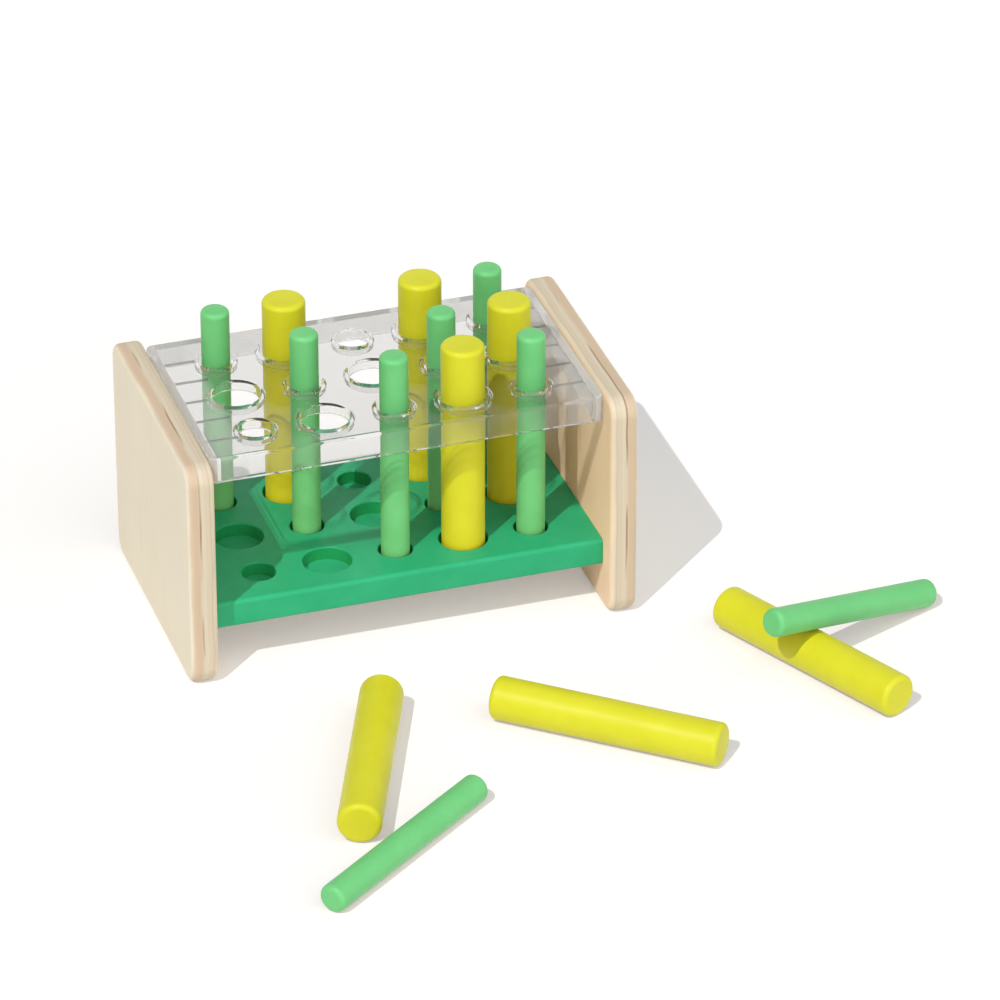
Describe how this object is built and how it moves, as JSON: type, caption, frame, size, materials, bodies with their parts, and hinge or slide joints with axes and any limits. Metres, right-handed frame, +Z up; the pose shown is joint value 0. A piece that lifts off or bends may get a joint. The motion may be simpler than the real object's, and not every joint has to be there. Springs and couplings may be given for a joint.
{
  "type": "peg posting stand",
  "caption": "Wooden toddler posting toy: painted board with round sockets between plywood ends under a clear guide tray, with slim and thick dowel pegs standing in it and lying loose",
  "frame": {"origin": "centre of the painted board's flat underside, midway between the two end panels", "axes": "+X along the stand from the left end panel to the right one as seen from the front, +Y from front to back, +Z up the way the pegs lift"},
  "size_m": [0.3179, 0.299, 0.127],
  "materials": {
    "birch_ply": "clear satin lacquer on birch plywood, plies bare at the edges",
    "board_green": "satin water-based paint",
    "slim_green": "semi-gloss water-based paint",
    "thick_yellow": "semi-gloss water-based paint",
    "clear_plastic": "clear moulded acrylic, polished",
    "beech_dowel": "bare beech"
  },
  "bodies": {
    "stand": {"left_end_panel": "birch_ply", "right_end_panel": "birch_ply", "peg_board": "board_green", "guide_tray": "clear_plastic", "left_dowel_1": "beech_dowel", "left_dowel_2": "beech_dowel", "left_dowel_3": "beech_dowel", "right_dowel_1": "beech_dowel", "right_dowel_2": "beech_dowel", "right_dowel_3": "beech_dowel"},
    "slim_peg_1_body": {"slim_peg_1": "slim_green"},
    "slim_peg_2_body": {"slim_peg_2": "slim_green"},
    "slim_peg_3_body": {"slim_peg_3": "slim_green"},
    "slim_peg_4_body": {"slim_peg_4": "slim_green"},
    "slim_peg_5_body": {"slim_peg_5": "slim_green"},
    "slim_peg_6_body": {"slim_peg_6": "slim_green"},
    "slim_peg_7_body": {"slim_peg_7": "slim_green"},
    "slim_peg_8_body": {"slim_peg_8": "slim_green"},
    "thick_peg_1_body": {"thick_peg_1": "thick_yellow"},
    "thick_peg_2_body": {"thick_peg_2": "thick_yellow"},
    "thick_peg_3_body": {"thick_peg_3": "thick_yellow"},
    "thick_peg_4_body": {"thick_peg_4": "thick_yellow"},
    "thick_peg_5_body": {"thick_peg_5": "thick_yellow"},
    "thick_peg_6_body": {"thick_peg_6": "thick_yellow"},
    "thick_peg_7_body": {"thick_peg_7": "thick_yellow"}
  },
  "joints": [
    {"name": "slim_peg_1_lift", "type": "slide", "parent": "stand", "child": "slim_peg_1_body", "axis": [0, 0, 1], "range_m": [0, 0.08]},
    {"name": "slim_peg_2_lift", "type": "slide", "parent": "stand", "child": "slim_peg_2_body", "axis": [0, 0, 1], "range_m": [0, 0.08]},
    {"name": "slim_peg_3_lift", "type": "slide", "parent": "stand", "child": "slim_peg_3_body", "axis": [0, 0, 1], "range_m": [0, 0.08]},
    {"name": "slim_peg_4_lift", "type": "slide", "parent": "stand", "child": "slim_peg_4_body", "axis": [0, 0, 1], "range_m": [0, 0.08]},
    {"name": "slim_peg_5_lift", "type": "slide", "parent": "stand", "child": "slim_peg_5_body", "axis": [0, 0, 1], "range_m": [0, 0.08]},
    {"name": "slim_peg_6_lift", "type": "slide", "parent": "stand", "child": "slim_peg_6_body", "axis": [0, 0, 1], "range_m": [0, 0.08]},
    {"name": "slim_peg_7_lift", "type": "slide", "parent": "stand", "child": "slim_peg_7_body", "axis": [0, 0, 1], "range_m": [0, 0.1]},
    {"name": "slim_peg_8_lift", "type": "slide", "parent": "thick_peg_7_body", "child": "slim_peg_8_body", "axis": [0, 0, 1], "range_m": [0, 0.1]},
    {"name": "thick_peg_1_lift", "type": "slide", "parent": "stand", "child": "thick_peg_1_body", "axis": [0, 0, 1], "range_m": [0, 0.08]},
    {"name": "thick_peg_2_lift", "type": "slide", "parent": "stand", "child": "thick_peg_2_body", "axis": [0, 0, 1], "range_m": [0, 0.08]},
    {"name": "thick_peg_3_lift", "type": "slide", "parent": "stand", "child": "thick_peg_3_body", "axis": [0, 0, 1], "range_m": [0, 0.08]},
    {"name": "thick_peg_4_lift", "type": "slide", "parent": "stand", "child": "thick_peg_4_body", "axis": [0, 0, 1], "range_m": [0, 0.08]},
    {"name": "thick_peg_5_lift", "type": "slide", "parent": "stand", "child": "thick_peg_5_body", "axis": [0, 0, 1], "range_m": [0, 0.1]},
    {"name": "thick_peg_6_lift", "type": "slide", "parent": "stand", "child": "thick_peg_6_body", "axis": [0, 0, 1], "range_m": [0, 0.1]},
    {"name": "thick_peg_7_lift", "type": "slide", "parent": "stand", "child": "thick_peg_7_body", "axis": [0, 0, 1], "range_m": [0, 0.1]}
  ]
}
